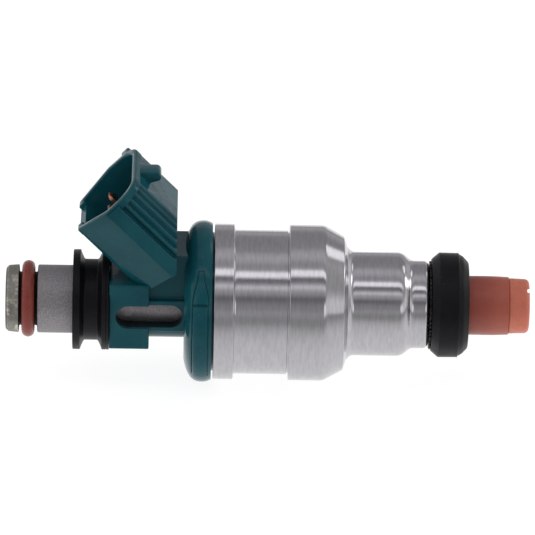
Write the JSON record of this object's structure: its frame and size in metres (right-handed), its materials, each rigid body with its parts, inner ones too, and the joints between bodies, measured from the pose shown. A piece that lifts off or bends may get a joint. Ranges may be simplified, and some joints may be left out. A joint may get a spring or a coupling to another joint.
{
  "type": "fuel injector",
  "caption": "Top-feed solenoid fuel injector with a brushed steel body, an angled two-blade electrical connector, rubber seals and a plastic nozzle cap.",
  "frame": {"origin": "on the injector's axis, at the front face of the lower seal, where the injector seats in the manifold port", "axes": "+X along the injector's axis from the fuel inlet towards the nozzle, +Z towards the side that carries the electrical connector; all but the connector's key rib and the notch in the nozzle cap is symmetric about the XZ plane"},
  "size_m": [0.0792, 0.0248, 0.0346],
  "materials": {
    "brushed_steel": "circumferentially brushed",
    "plain_steel": "turned",
    "hard_steel": "ground",
    "spring_steel": "drawn",
    "sintered_steel": "matt, fine-grained",
    "brass": "turned",
    "copper": "copper alloy, drawn",
    "teal_plastic": "gloss",
    "bobbin_plastic": "matt",
    "nylon": "matt",
    "cap_plastic": "satin",
    "black_rubber": "matt",
    "red_rubber": "satin"
  },
  "bodies": {
    "injector": {"inlet_tube": "sintered_steel", "rail_ring": "red_rubber", "filter_frame": "nylon", "filter_screen": "nylon", "rail_grommet": "black_rubber", "connector_body": "teal_plastic", "terminal_left": "copper", "terminal_right": "copper", "housing": "brushed_steel", "yoke_plate": "plain_steel", "coil_bobbin": "bobbin_plastic", "coil_winding": "copper", "coil_lead_left": "copper", "coil_lead_right": "copper", "bobbin_ring_rear": "black_rubber", "bobbin_ring_front": "black_rubber", "preload_sleeve": "brass", "return_spring": "spring_steel", "stop_plate": "hard_steel", "valve_body": "hard_steel", "valve_body_ring": "black_rubber", "backing_washer": "plain_steel", "manifold_seal": "black_rubber", "nozzle_cap": "cap_plastic"},
    "needle_assembly": {"armature": "plain_steel", "needle": "hard_steel"}
  },
  "joints": [
    {"name": "needle_lift", "type": "slide", "parent": "injector", "child": "needle_assembly", "axis": [-1, 0, 0], "range_m": [0, 0.0001], "stiffness_N_per_m": 5000, "deforming": ["return_spring"]}
  ]
}
